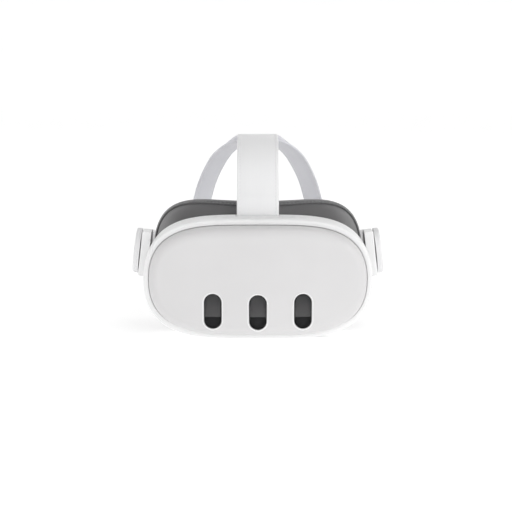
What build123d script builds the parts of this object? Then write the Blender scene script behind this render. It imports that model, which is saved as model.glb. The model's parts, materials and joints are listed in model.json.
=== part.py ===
from build123d import *
from math import cos, pi, radians, sin
import os

# Standalone VR headset. Millimetres. Origin on the table under the middle of the visor's flat foot:
# +X is the wearer's left, -Y is the way the wearer looks, +Z is up.

# ---- Visor shell ----
MID_Z = 48.5                     # height of the middle of the visor
CHASSIS_W, CHASSIS_H = 92.2, 48.6    # half width and half height of the outer rim
FACE_W, FACE_H = 87.7, 43.9      # half sizes of the faceplate where it meets the rim
SEAM_Y = -17.0                   # front plane of the rim
LEDGE_Y = -14.5                  # the faceplate's edge rests here
DECK_Y = -12.0                   # front of the midframe
BACK_Y = 17.0                    # back plane of the chassis
APEX_Y = -34.0                   # foremost point of the faceplate
CROWN_R = 420.0                  # the faceplate's bulge, seen from above
CROWN_RISE_R = 650.0             # and seen from the side
EDGE_R = 9.5                     # rounding round the faceplate's front
RIM_R = 3.4                      # rounding of the rim's edges
SEAM_GAP = 0.5
FACE_WALL = 2.0
RIM_WALL = 2.8
LEDGE_STEP = 2.5                 # how far the ledge reaches in under the faceplate
VISOR_BEND = (4.0, 2.3)          # exponents of the visor's outline across and up
PAD_BEND = (5.0, 2.8)            # exponents of the face interface's outline

# ---- Front windows ----
WINDOW_PITCH = 36.0
WINDOW_Z = 25.0
CENTER_DROP = 0.8                # the middle window sits a little lower
WINDOW_W, WINDOW_H = 14.0, 28.3
WINDOW_GAP = 0.15
WINDOW_BEVEL = 0.7
GLASS_INSET = 0.35
GLASS_T = 1.6

# ---- Midframe and boards ----
FRAME_T = 2.0
FRAME_BACK = DECK_Y + FRAME_T
BOARD_T = 1.2
BOARD_Y = -15.0                  # back face of the mainboard, on its standoffs
POST_X = 16.0                    # the mainboard's standoffs
FAN_X, FAN_Z = -54.0, 56.0
FAN_R = 13.0
FAN_DEPTH = 8.0
BLADES = 9

# ---- Lenses ----
EYE_X, EYE_Z = 32.0, 50.0        # half of a 64 mm eye distance
EYE_TRAVEL = 3.0                 # each lens moves this far either way
BARREL_R = 23.0
BARREL_FRONT, BARREL_BACK = -4.0, 20.0
LENS_R = 20.8
RAIL_R = 1.0
RAIL_Y = 4.0
RAIL_HALF = 68.0
RAIL_RISE = 27.0                 # each rail's height above or below the lens axis
RUN_GAP = 0.05                   # radial gap of a running fit
LUG_W = 12.0

# ---- Eye distance drive: one pinion between two racks ----
MODULE = 0.4
TEETH = 12
PITCH_R = MODULE * TEETH / 2
WHEEL_X, WHEEL_Z = 50.0, 14.0
WHEEL_R = 13.2
WHEEL_FRONT, WHEEL_T = -8.6, 4.0
RACK_FRONT, RACK_T = -3.9, 2.6
RACK_END = 56.5
AXLE_R = 0.9

# ---- Volume rocker ----
ROCKER_DEPTH = 3.6               # depth of its pivot rib below the chassis surface
ROCKER_PIVOT_R = 1.0

# ---- Arms and headstrap hubs ----
HUB_Y, HUB_Z = 36.0, 63.6
HUB_TILT = 6.5                   # the arms lean in at the top, in degrees
ARM_X = 89.5                     # inner face of the arm, measured at the hub
ARM_T = 7.4
ARM_R = 18.5
DISC_R = 18.7
DISC_T = 4.7
DISC_GAP = 0.75                  # leaves room for the leaning disc to turn
PIVOT_R = 6.0

# ---- Face interface ----
FACE_AXIS_Y = 206.0              # the pad's back follows an upright cylinder about this line
FACE_R = 160.0
PAD_T = 8.0
SKIRT_WALL = 2.2
CARRIER_FRONT, CARRIER_BACK = 17.4, 24.0
CARRIER_WALL = 5.0
CARRIER = (81.8, 47.5, 49.0)     # half width, half height and middle height of each station
FLARE = (84.0, 51.8, 52.2)
PAD_RIM = (88.0, 53.2, 52.8)
FLARE_Y, PAD_RIM_Y = 39.0, 72.0
PAD_RING = 15.0
SOFT_GAP = 0.3

# ---- Headstrap ----
HEAD = (0.0, 96.0, 75.0)         # middle of the head that the straps lie on
HEAD_SIZE = (82.0, 105.0, 80.0)
STRAP_T = 2.4
TOP_W = 35.0
SIDE_W = 22.0
YOKE_W = 23.0
SLOT_Y = 10.8                    # where the top strap leaves the chassis
BAR_Z = 89.5
BAR_R = 1.6
SLIDER_L = 13.0

LOOP_ROUTE = [(0, SLOT_Y, 92.5), (0, SLOT_Y, 98.5), (0, SLOT_Y + 1.1, 103.5), (0, SLOT_Y + 2.8, 107.5)]
TOP_ROUTE = [(0, 15.9, 112.4), (0, 32, 135.2), (0, 52, 149.3), (0, 76, 155.2), (0, 98, 155.4), (0, 115, 153.3)]
YOKE_ROUTE = [
    (13.5, 121.5, 151.6), (23, 138, 145.0), (41, 163, 121.5), (49.5, 173, 94), (54.6, 173.8, 74), (58, 172, 62.1),
]
SIDE_START = (98.4, 72.6, 61.8)
SIDE_BEND = (94.2, 98.0, 59.2)   # start of the straight stretch that the slider runs on
SIDE_STRAIGHT = (88.8, 137.0, 55.0)
SIDE_END = (66.0, 174.0, 46.6)
BACK_MIDDLE = (0.0, 198.5, 39.4)

nodes = {}


# ---- Helpers ----
def facing(y):
    """Upright plane at depth y that looks forward; its own x and y are the model's X and Z."""
    return Plane(origin=(0, y, 0), x_dir=(1, 0, 0), z_dir=(0, -1, 0))


def rim_radius(turn, bend):
    """Distance from the middle to the unit outline |x|^p + |z|^q = 1 in the direction turn."""
    low, high = 0.5, 1.5
    for _ in range(40):
        mid = (low + high) / 2
        if abs(mid * cos(turn)) ** bend[0] + abs(mid * sin(turn)) ** bend[1] > 1:
            high = mid
        else:
            low = mid
    return low


def outline(half_w, half_h, mid_z, y, bend=VISOR_BEND, steps=36):
    """Closed rounded outline as a face at depth y."""
    points = []
    for step in range(steps):
        turn = 2 * pi * step / steps
        reach = rim_radius(turn, bend)
        points.append((half_w * reach * cos(turn), mid_z + half_h * reach * sin(turn)))
    return facing(y) * make_face(Spline(*points, periodic=True))


def slab(half_w, half_h, mid_z, front, back, bend=VISOR_BEND):
    """Outline extruded between two depths."""
    return extrude(outline(half_w, half_h, mid_z, back, bend), back - front, dir=(0, -1, 0))


def rim_plane(turn_deg, y, inset=0.0):
    """Plane on the chassis surface in the direction turn_deg; its normal points outwards."""
    turn = radians(turn_deg)
    reach = rim_radius(turn, VISOR_BEND)
    across, up = reach * cos(turn), reach * sin(turn)
    p, q = VISOR_BEND
    slope_x = p * abs(across) ** (p - 1) / CHASSIS_W * (1 if across > 0 else -1)
    slope_z = q * abs(up) ** (q - 1) / CHASSIS_H * (1 if up > 0 else -1)
    spot = Plane(origin=(across * CHASSIS_W, y, MID_Z + up * CHASSIS_H), x_dir=(0, 1, 0), z_dir=(slope_x, 0, slope_z))
    return spot.offset(-inset)


def pill(length, width, depth, vertical=False):
    """Round-ended bar centred on its own plane, depth thick."""
    turn = 90 if vertical else 0
    return Pos(0, 0, -depth / 2) * extrude(SlotOverall(length, width, rotation=turn), depth)


def block(x0, x1, y0, y1, z0, z1):
    """Box between two corners."""
    size = (x1 - x0, y1 - y0, z1 - z0)
    return Pos((x0 + x1) / 2, (y0 + y1) / 2, (z0 + z1) / 2) * Box(*size)


def rod_x(radius, x0, x1, y, z):
    return Pos((x0 + x1) / 2, y, z) * Rot(0, 90, 0) * Cylinder(radius, x1 - x0)


def rod_y(radius, x, y0, y1, z):
    return Pos(x, (y0 + y1) / 2, z) * Rot(90, 0, 0) * Cylinder(radius, y1 - y0)


def ring_y(outer, inner, x, y0, y1, z):
    return rod_y(outer, x, y0, y1, z) - rod_y(inner, x, y0 - 1, y1 + 1, z)


def other_side(shape):
    """The same piece for the wearer's right."""
    return mirror(shape, about=Plane.YZ)


def pair(name, shape):
    nodes[name + "_left"] = shape
    nodes[name + "_right"] = other_side(shape)


def outward(point):
    """Direction away from the head at a point on its surface."""
    slopes = [(at - mid) / size ** 2 for at, mid, size in zip(tuple(point), HEAD, HEAD_SIZE)]
    return Vector(*slopes).normalized()


def flat_section(point, along, normal, width, thick):
    """Rectangle across a strap."""
    across = Vector(*along).cross(Vector(*normal))
    return Plane(origin=point, x_dir=across, z_dir=along) * Rectangle(width, thick)


def strap(curve, width, thick, steps, normal_at):
    """Flat strap along a curve, lying on the head."""
    sections = []
    for step in range(steps + 1):
        point = curve @ (step / steps)
        along = curve % (step / steps)
        side = along.cross(normal_at(point))
        sections.append(flat_section(point, along, side.cross(along), width, thick))
    return loft(sections, ruled=True)


# ---- Faceplate and its windows ----
def crown(apex):
    """Barrel-shaped solid whose foremost point is at depth apex."""
    axis_y = apex + CROWN_R
    sag = CROWN_RISE_R - (CROWN_RISE_R ** 2 - CHASSIS_H ** 2) ** 0.5
    low, high = MID_Z - CHASSIS_H, MID_Z + CHASSIS_H
    edge_y = axis_y + CROWN_R - sag
    side = ThreePointArc((edge_y, low), (axis_y + CROWN_R, MID_Z), (edge_y, high))
    profile = make_face([side, Polyline((edge_y, high), (axis_y, high), (axis_y, low), (edge_y, low))])
    return revolve(Plane.YZ * profile, Axis((0, axis_y, 0), (0, 0, 1)), 360)


def visor_front(inset, back=LEDGE_Y):
    """Solid bounded by the faceplate's outer surface, pulled in by inset."""
    body = slab(FACE_W - inset, FACE_H - inset, MID_Z, APEX_Y - 2, back)
    body &= crown(APEX_Y + inset)
    rim = [e for e in body.edges() if e.geom_type != GeomType.LINE and e.center().Y < SEAM_Y - 3]
    return fillet(rim, EDGE_R - inset)


def window_z(x):
    return WINDOW_Z if x else WINDOW_Z - CENTER_DROP


def window_cut(x, grow, depth=30.0):
    return facing(APEX_Y) * Pos(x, window_z(x), 0) * pill(WINDOW_H + 2 * grow, WINDOW_W + 2 * grow, depth, True)


def window_bevel(x):
    """Forty-five degree flare at the front edge of the window opening at x."""
    surface = APEX_Y + x ** 2 / (2 * CROWN_R) + 0.3
    wide = WINDOW_BEVEL + 1
    rings = []
    for grow, y in ((wide, surface - 1), (0, surface + WINDOW_BEVEL)):
        ring = SlotOverall(WINDOW_H + 2 * grow, WINDOW_W + 2 * grow, rotation=90)
        rings.append(facing(y) * Pos(x, window_z(x), 0) * ring)
    return loft(rings, ruled=True)


def make_faceplate():
    plate = visor_front(0) - visor_front(FACE_WALL, LEDGE_Y + 1)
    for place in (-1, 0, 1):
        x = place * WINDOW_PITCH
        plate -= window_cut(x, 0)
        plate -= window_bevel(x)
    return plate


def make_window(x):
    return (visor_front(GLASS_INSET) - visor_front(GLASS_INSET + GLASS_T)) & window_cut(x, -WINDOW_GAP)


# ---- Chassis ----
def jack_key(radius, depth):
    """Eight-sided prism: the jack's body and its hole, so that the jack can't turn."""
    return Pos(0, 0, -depth / 2) * extrude(RegularPolygon(radius, 8), depth)


POWER_SPOT = rim_plane(-9, -3)
LED_SPOT = rim_plane(-2, -3)
USB_SPOT = rim_plane(-14, 7)
JACK_SPOT = rim_plane(194, -2)
VOLUME_SPOT = rim_plane(223, 0)
SIDE_CAMERA_SPOTS = {"left": rim_plane(-27, -3), "right": rim_plane(207, -3)}
CONTACT_SPOTS = [(-6, 7), (0, 7), (6, 7)]
SCREW_TURNS = [20, 55, 90, 125, 160, 200, 235, 305, 340]
SCREW_RING = 2.9                 # distance of the screws inside the rim's outer face


def screw_places():
    for turn_deg in SCREW_TURNS:
        spot = rim_plane(turn_deg, 0, RIM_R + SCREW_RING).origin
        yield spot.X, spot.Z


def make_chassis():
    shell = slab(CHASSIS_W, CHASSIS_H, MID_Z, SEAM_Y, BACK_Y)
    rim = [e for e in shell.edges() if e.geom_type != GeomType.LINE]
    shell = fillet(rim, RIM_R - 0.8)
    shell -= slab(FACE_W + SEAM_GAP, FACE_H + SEAM_GAP, MID_Z, SEAM_Y - 1, LEDGE_Y)
    shell -= slab(FACE_W - LEDGE_STEP, FACE_H - LEDGE_STEP, MID_Z, LEDGE_Y - 1, DECK_Y + 1)
    shell -= slab(CHASSIS_W - RIM_WALL, CHASSIS_H - RIM_WALL, MID_Z, DECK_Y, BACK_Y + 1)
    shell -= block(-150, 150, -60, 60, -20, 0)
    shell -= block(WHEEL_X - 12.5, WHEEL_X + 12.5, WHEEL_FRONT - 0.6, WHEEL_FRONT + WHEEL_T + 0.6, -1, 10)
    shell -= block(-TOP_W / 2 - 1, TOP_W / 2 + 1, SLOT_Y - 2.4, SLOT_Y + 2.4, 85, 110)
    shell -= POWER_SPOT * pill(9.3, 4.3, 12)
    shell -= LED_SPOT * Cylinder(0.9, 12)
    shell -= USB_SPOT * pill(9.4, 3.6, 20)
    shell -= JACK_SPOT * jack_key(3.4, 12)
    shell -= VOLUME_SPOT * pill(17, 4.6, 12, True)
    for spot in SIDE_CAMERA_SPOTS.values():
        shell -= spot * Cylinder(5.1, 12)
    for x, y in CONTACT_SPOTS:
        shell -= Pos(x, y, 1) * Cylinder(1.9, 6)
    for x, z in screw_places():
        shell -= rod_y(0.8, x, LEDGE_Y + 0.3, DECK_Y + 0.5, z)
    for place in range(-4, 5):
        shell -= Pos(place * 9, -2, 95) * pill(6.4, 2.0, 10)
    return shell


def make_midframe():
    plate = slab(CHASSIS_W - RIM_WALL - 0.3, CHASSIS_H - RIM_WALL - 0.3, MID_Z, DECK_Y, FRAME_BACK)
    for side in (-1, 1):
        for rise in (-1, 1):
            z = EYE_Z + rise * RAIL_RISE
            plate += block(side * 66 - 3, side * 66 + 3, FRAME_BACK - 0.5, RAIL_Y + 3, z - 3, z + 3)
            plate -= rod_x(RAIL_R + 0.02, side * 66 - 4, side * 66 + 4, RAIL_Y, z)
        plate -= rod_y(14, side * EYE_X, DECK_Y - 1, FRAME_BACK + 1, EYE_Z)
        for z in (44, 82):
            plate += rod_y(1.8, side * POST_X, BOARD_Y, DECK_Y + 0.5, z)
    for x, z in screw_places():
        plate -= rod_y(0.85, x, DECK_Y - 1, FRAME_BACK + 1, z)
    for x in (-WINDOW_PITCH, 0, WINDOW_PITCH):
        plate += block(x - 4, x + 4, -20, DECK_Y + 0.5, WINDOW_Z - 8, WINDOW_Z + 8)
    return plate


def make_screws():
    screws = []
    for x, z in screw_places():
        screws.append(rod_y(0.78, x, LEDGE_Y + 0.4, FRAME_BACK + 0.1, z) + rod_y(1.5, x, FRAME_BACK, FRAME_BACK + 1, z)
                      - Pos(x, FRAME_BACK + 1, z) * Box(0.5, 0.8, 2))
    return Compound(screws)


# ---- Electronics ----
def make_mainboard():
    board = block(-30, 30, BOARD_Y - BOARD_T, BOARD_Y, 40, 87)
    board += block(-38, 30, BOARD_Y - BOARD_T, BOARD_Y, 40, 52)
    for side in (-1, 1):
        for z in (44, 82):
            board -= rod_y(1.0, side * POST_X, BOARD_Y - 2, BOARD_Y + 1, z)
    for x, z in ((-14, 46), (0, 46), (14, 46)):
        board += block(x - 5, x + 5, BOARD_Y - BOARD_T - 1, BOARD_Y - BOARD_T + 0.1, z - 3.5, z + 3.5)
    return board


def make_heat_sink():
    top = BOARD_Y - BOARD_T
    sink = block(-20, 20, top - 2, top, 52, 80)
    for fin in range(11):
        x = -19 + fin * 3.8
        sink += block(x - 0.5, x + 0.5, top - 8, top - 1.9, 52, 80)
    return sink


def make_fan_housing():
    front = DECK_Y - FAN_DEPTH
    case = fillet((Pos(FAN_X, DECK_Y - FAN_DEPTH / 2, FAN_Z) * Box(31, FAN_DEPTH, 31)).edges().filter_by(Axis.Y), 4)
    case -= rod_y(FAN_R + 1, FAN_X, front - 1, DECK_Y - 1.2, FAN_Z)
    case -= block(FAN_X - 9, FAN_X + 9, front + 1, DECK_Y - 1.2, FAN_Z, FAN_Z + 20)
    return case + rod_y(1.0, FAN_X, front + 1, DECK_Y - 1, FAN_Z)


def make_fan_rotor():
    back = DECK_Y - 1.8
    depth = FAN_DEPTH - 2.4
    hub = rod_y(5, FAN_X, back - depth, back, FAN_Z)
    for blade in range(BLADES):
        turn = 360 * blade / BLADES
        vane = Pos(8.2, 0, 0) * Rot(0, 0, 28) * Box(9.4, 0.8, depth - 1)
        hub += Pos(FAN_X, back - depth / 2, FAN_Z) * Rot(90, 0, 0) * Rot(0, 0, turn) * vane
    return hub - rod_y(1.0 + RUN_GAP, FAN_X, back - depth - 1, back + 1, FAN_Z)


def make_battery():
    cell = Pos(53, DECK_Y - 4.5, 58) * Box(42, 9, 32)
    return fillet(cell.edges().filter_by(Axis.Z), 3)


def make_camera_module(x):
    body = block(x - 5.5, x + 5.5, -26, -20, WINDOW_Z - 12, WINDOW_Z + 12)
    for rise, radius in ((-6.5, 4.0), (6.0, 3.4)):
        z = WINDOW_Z + rise
        body += rod_y(radius, x, -29.2, -25.9, z)
        body -= rod_y(radius - 1.2, x, -31, -28.1, z)
    return body


def make_depth_sensor():
    body = block(-5.5, 5.5, -26, -20, WINDOW_Z - 12, WINDOW_Z + 12)
    body += rod_y(4.2, 0, -29.2, -25.9, WINDOW_Z - 6.5)
    body -= rod_y(2.8, 0, -31, -28.1, WINDOW_Z - 6.5)
    return body + block(-3.5, 3.5, -28.6, -25.9, WINDOW_Z + 2, WINDOW_Z + 9)


def make_side_camera(spot):
    lens = spot * Pos(0, 0, -3.4) * Cylinder(4.9, 7)
    return lens - spot * Pos(0, 0, 0.5) * Cylinder(3.2, 2)


# ---- Lenses and eye distance drive ----
def make_barrel():
    barrel = rod_y(BARREL_R, EYE_X, BARREL_FRONT, BARREL_BACK, EYE_Z)
    for rise in (-1, 1):
        z = EYE_Z + rise * RAIL_RISE
        inner = EYE_Z + rise * (BARREL_R - 1)
        low, high = sorted((inner, z + rise * 3))
        barrel += block(EYE_X - LUG_W / 2, EYE_X + LUG_W / 2, -3.5, RAIL_Y + 3, low, high)
        barrel -= rod_x(RAIL_R + RUN_GAP, EYE_X - 20, EYE_X + 20, RAIL_Y, z)
    barrel -= rod_y(LENS_R, EYE_X, 13, BARREL_BACK + 1, EYE_Z)
    return barrel - rod_y(LENS_R - 1.6, EYE_X, BARREL_FRONT - 1, 14, EYE_Z)


def make_lens():
    disc = rod_y(LENS_R - RUN_GAP, EYE_X, 13, 20, EYE_Z)
    return disc & Pos(EYE_X, 19.4 - 62, EYE_Z) * Sphere(62)


def make_display():
    panel = Pos(EYE_X, BARREL_FRONT - 0.9, EYE_Z) * Box(42, 1.8, 42)
    panel = chamfer(panel.edges().filter_by(Axis.Y), 7)
    return panel + block(EYE_X - 5, EYE_X + 5, BARREL_FRONT - 1.2, BARREL_FRONT - 0.6, EYE_Z + 20, EYE_Z + 25)


def rack_bar(x0, x1, facing_up):
    """Toothed bar beside the pinion; the teeth face it."""
    step = pi * MODULE
    way = 1 if facing_up else -1
    pitch_z = WHEEL_Z - way * PITCH_R
    base = pitch_z - way * 0.55
    low, high = sorted((base, base - way * 2.0))
    bar = block(x0, x1, RACK_FRONT, RACK_FRONT + RACK_T, low, high)
    count = int((x1 - WHEEL_X) / step)
    for tooth in range(-count, count):
        x = WHEEL_X + (tooth + 0.5) * step
        corners = [(-0.44, 0), (-0.13, 0.85), (0.13, 0.85), (0.44, 0)]
        shape = make_face(Polyline(*[(x + dx, base + way * dz) for dx, dz in corners], close=True))
        bar += extrude(facing(RACK_FRONT + RACK_T) * shape, RACK_T, dir=(0, -1, 0))
    return bar


def make_rack_left():
    bar = rack_bar(EYE_X - 4, RACK_END, False)
    return bar + block(EYE_X - 4, EYE_X + 4, RACK_FRONT, RACK_FRONT + RACK_T, WHEEL_Z + PITCH_R + 1, 20)


def make_rack_right():
    bar = rack_bar(-EYE_X - 4, RACK_END, True)
    return bar + block(-EYE_X - 4, -EYE_X + 4, RACK_FRONT, RACK_FRONT + RACK_T, WHEEL_Z - PITCH_R - 2, 20)


def pinion_face():
    """Twelve short teeth with a little play."""
    points = []
    for tooth in range(TEETH):
        middle = 2 * pi * tooth / TEETH
        for radius, half in ((1.88, 0.44), (PITCH_R, 0.24), (2.74, 0.1), (2.74, -0.1), (PITCH_R, -0.24), (1.88, -0.44)):
            turn = middle - half / radius
            points.append((radius * cos(turn), radius * sin(turn)))
    return make_face(Polyline(*points, close=True))


def make_ipd_wheel():
    back = WHEEL_FRONT + WHEEL_T
    wheel = rod_y(WHEEL_R, WHEEL_X, WHEEL_FRONT, back, WHEEL_Z)
    for groove in range(40):
        turn = 2 * pi * groove / 40
        x, z = WHEEL_X + WHEEL_R * cos(turn), WHEEL_Z + WHEEL_R * sin(turn)
        wheel -= rod_y(0.45, x, WHEEL_FRONT - 1, back + 1, z)
    pinion = facing(RACK_FRONT + RACK_T) * Pos(WHEEL_X, WHEEL_Z, 0) * pinion_face()
    wheel += extrude(pinion, RACK_FRONT + RACK_T - back + 0.2, dir=(0, -1, 0))
    return wheel - rod_y(AXLE_R + RUN_GAP, WHEEL_X, WHEEL_FRONT - 1, 0, WHEEL_Z)


def make_wheel_axle():
    end = RACK_FRONT + RACK_T + 0.15
    pin = rod_y(AXLE_R, WHEEL_X, FRAME_BACK, end + 0.8, WHEEL_Z)
    collar = rod_y(2.0, WHEEL_X, FRAME_BACK, WHEEL_FRONT - 0.15, WHEEL_Z)
    return pin + collar + rod_y(1.6, WHEEL_X, end, end + 0.8, WHEEL_Z)


# ---- Back of the visor ----
def make_eye_panel():
    panel = slab(CHASSIS_W - RIM_WALL - 0.2, CHASSIS_H - RIM_WALL - 0.2, MID_Z, BACK_Y - 2, BACK_Y)
    opening = 2 * (BARREL_R + SOFT_GAP)
    for side in (-1, 1):
        slot = facing(BACK_Y) * Pos(side * EYE_X, EYE_Z, 0) * pill(opening + 2 * EYE_TRAVEL, opening, 10)
        panel -= slot
        low, high = sorted((side * 79.8, side * 95))
        panel -= block(low, high, 10, 20, 44.8, 66.2)
        low, high = sorted((side * 76.7, side * 79.5))
        panel -= block(low, high, 10, 20, 29.6, 42.4)
    return panel - facing(BACK_Y) * Pos(0, 68, 0) * pill(9.2, 4.2, 10)


def make_proximity_sensor():
    return facing(BACK_Y - 0.6) * Pos(0, 68, 0) * pill(9, 4, 2.4)


# ---- Controls and ports ----
def make_power_button():
    cap = POWER_SPOT * Pos(0, 0, -1.6) * pill(9, 4, 4.6)
    return cap + POWER_SPOT * Pos(0, 0, -5) * Box(3, 2, 2.4)


def make_volume_rocker():
    """Bar that rocks about a round rib under its middle."""
    bar = VOLUME_SPOT * Pos(0, 0, -1.5) * pill(16.4, 4.1, 4.2, True)
    bar -= VOLUME_SPOT * Pos(0, 0, 0.9) * Cylinder(3.4, 1)
    pivot = VOLUME_SPOT.offset(-ROCKER_DEPTH).origin
    return bar + rod_y(ROCKER_PIVOT_R, pivot.X, -1.9, 1.9, pivot.Z)


def make_status_led():
    return LED_SPOT * Pos(0, 0, -2) * Cylinder(0.8, 4)


def make_usb_port():
    port = USB_SPOT * Pos(0, 0, -3.7) * pill(8.94, 3.2, 7)
    port -= USB_SPOT * Pos(0, 0, -3.0) * pill(8.34, 2.56, 7)
    return port + USB_SPOT * Pos(0, 0, -4.2) * Box(6.7, 0.7, 5)


def make_audio_jack():
    body = JACK_SPOT * Pos(0, 0, -7.4) * jack_key(3.15, 14)
    return body - JACK_SPOT * Pos(0, 0, -6.9) * Cylinder(1.8, 15)


def make_contacts():
    return Compound([Pos(x, y, 1.3) * Cylinder(1.8, 2) for x, y in CONTACT_SPOTS])


# ---- Arms, speakers and hubs (wearer's left) ----
TILT = radians(HUB_TILT)
ARM_PLANE = Plane(origin=(ARM_X, HUB_Y, HUB_Z), x_dir=(0, 1, 0), z_dir=(cos(TILT), 0, sin(TILT)))
SPEAKER_SPOT = (-3.0, -11.8)


def make_arm():
    reach = HUB_Y - BACK_Y - 0.2
    face = Circle(ARM_R) + Pos(-reach / 2, 0) * Rectangle(reach, 2 * ARM_R)
    arm = ARM_PLANE * extrude(face, ARM_T)
    arm = fillet(arm.edges().sort_by(Axis.X)[-4:], 1.5)
    arm += block(83.8, 91.5, BACK_Y + 0.2, 26, 45, 70)
    arm += block(80.2, 86.2, 5, BACK_Y + 0.2, 45, 66)
    arm += block(83.8, 86.2, BACK_Y - 3, 22, 45, 66)
    arm -= rod_x(PIVOT_R + RUN_GAP, 80, 110, HUB_Y, HUB_Z)
    arm -= ARM_PLANE * Pos(*SPEAKER_SPOT, 2.3) * Box(22, 8.6, 4.6)
    return arm - ARM_PLANE * Pos(*SPEAKER_SPOT, 5) * pill(14, 2, 8)


def make_speaker():
    return ARM_PLANE * Pos(*SPEAKER_SPOT, 2.8) * Box(20, 7.4, 3.4)


def make_speaker_cover():
    cover = ARM_PLANE * Pos(*SPEAKER_SPOT, 0.55) * Box(21.7, 8.3, 0.9)
    for slot in range(6):
        cover -= ARM_PLANE * Pos(SPEAKER_SPOT[0] - 7.5 + slot * 3, SPEAKER_SPOT[1], 0.55) * pill(5, 1.4, 3, True)
    return cover


def make_hub():
    lift = ARM_T + DISC_GAP
    disc = extrude(Circle(DISC_R), DISC_T)
    disc = fillet(disc.edges().sort_by(Axis.Z)[-1:], 1.6)
    tail = Pos(22, -1.2, 0) * extrude(RectangleRounded(28, SIDE_W + 2, 4), 3)
    hub = ARM_PLANE * Pos(0, 0, lift) * (disc + tail)
    return hub + rod_x(PIVOT_R, ARM_X + 1, ARM_X + ARM_T + 3, HUB_Y, HUB_Z)


# ---- Face interface ----
def skirt_body(inset):
    """Flaring tube from the carrier to beyond the face, pulled in by inset."""
    sections = []
    for (half_w, half_h, mid_z), y in ((CARRIER, CARRIER_BACK), (FLARE, FLARE_Y), (PAD_RIM, PAD_RIM_Y)):
        sections.append(outline(half_w - inset, half_h - inset, mid_z, y, PAD_BEND))
    return loft(sections)


def nose_cut():
    arch = make_face(Polyline((-24, -8), (24, -8), (9, 40), (-9, 40), close=True))
    arch = fillet(arch.vertices().sort_by(Axis.Y)[-2:], 8)
    return extrude(facing(90) * arch, 60, dir=(0, -1, 0))


def face_cylinder(radius):
    return Pos(0, FACE_AXIS_Y, 50) * Cylinder(radius, 160)


def below_table():
    return block(-150, 150, -60, 100, -20, 0)


def make_face_frame():
    half_w, half_h, mid_z = CARRIER
    ring = slab(half_w, half_h, mid_z, CARRIER_FRONT, CARRIER_BACK, PAD_BEND)
    ring -= slab(half_w - CARRIER_WALL, half_h - CARRIER_WALL, mid_z, CARRIER_FRONT - 1, CARRIER_BACK + 1, PAD_BEND)
    for side in (-1, 1):
        low, high = sorted((side * 77, side * 79.2))
        ring += block(low, high, 4, CARRIER_FRONT + 1, 30, 42)
        low, high = sorted((side * 70, side * 90))
        ring -= block(low, high, 18.4, 22.9, 46, 58)
    return ring


def make_face_skirt():
    skirt = skirt_body(0) - skirt_body(SKIRT_WALL)
    skirt -= face_cylinder(FACE_R + PAD_T + SOFT_GAP)
    return skirt - nose_cut() - below_table()


def make_face_pad():
    pad = skirt_body(-0.6) - skirt_body(PAD_RING)
    pad &= face_cylinder(FACE_R + PAD_T) - face_cylinder(FACE_R)
    return pad - nose_cut() - below_table()


def make_release_button():
    return block(75.2, 80.4, 18.6, 22.7, 46.2, 57.8)


# ---- Headstrap ----
def make_strap_bar():
    bar = rod_x(BAR_R, -22, 22, SLOT_Y, BAR_Z)
    for side in (-1, 1):
        low, high = sorted((side * 20, side * 23.5))
        bar += block(low, high, SLOT_Y - 2.4, SLOT_Y + 2.4, BAR_Z - 2.5, 94.1)
    return bar


def make_loop():
    curve = Spline(*LOOP_ROUTE)
    loop = strap(curve, TOP_W - 1, 3.0, 8, lambda point: Vector(0, -1, 0))
    loop += rod_x(3.5, -17, 17, SLOT_Y, BAR_Z)
    return loop - rod_x(BAR_R + SOFT_GAP, -20, 20, SLOT_Y, BAR_Z)


def make_top_strap():
    return strap(Spline(*TOP_ROUTE), TOP_W, STRAP_T, 14, outward)


def make_yoke():
    return strap(Spline(*YOKE_ROUTE), YOKE_W, STRAP_T, 14, outward)


SIDE_AXIS = (Vector(*SIDE_STRAIGHT) - Vector(*SIDE_BEND)).normalized()


def make_side_strap():
    first = Spline(SIDE_START, SIDE_BEND, tangents=(Vector(-0.05, 1, -0.08), SIDE_AXIS))
    straight = Line(SIDE_BEND, SIDE_STRAIGHT)
    last = Spline(SIDE_STRAIGHT, SIDE_END, tangents=(SIDE_AXIS, Vector(-1, 0.95, -0.28)))
    sections = []
    for curve, steps in ((first, 3), (straight, 1), (last, 5)):
        for step in range(steps):
            sections.append((curve @ (step / steps), curve % (step / steps)))
    sections.append((last @ 1, last % 1))
    faces = []
    for point, along in sections:
        across = Vector(0, -0.08, 1)
        faces.append(flat_section(point, along, across.cross(along), SIDE_W, STRAP_T))
    return loft(faces, ruled=True)


def make_rear_band():
    x, y, z = SIDE_END
    curve = Spline(SIDE_END, BACK_MIDDLE, (-x, y, z), tangents=(Vector(-1, 0.95, -0.28), Vector(-1, -0.95, 0.28)))
    faces = []
    for step in range(13):
        along = curve % (step / 12)
        across = Vector(0, -0.08, 1)
        faces.append(flat_section(curve @ (step / 12), along, across.cross(along), SIDE_W, STRAP_T))
    return loft(faces, ruled=True)


def make_slider():
    middle = Vector(*SIDE_BEND) + SIDE_AXIS * (SLIDER_L / 2 + 0.5)
    across = Vector(0, -0.08, 1)
    place = Plane(origin=middle, x_dir=SIDE_AXIS.cross(across.cross(SIDE_AXIS)), z_dir=SIDE_AXIS)
    frame = RectangleRounded(SIDE_W + 6, 7, 2.5) - Rectangle(SIDE_W + 0.8, STRAP_T + 0.8)
    return place * Pos(0, 0, -SLIDER_L / 2) * extrude(frame, SLIDER_L)


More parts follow.
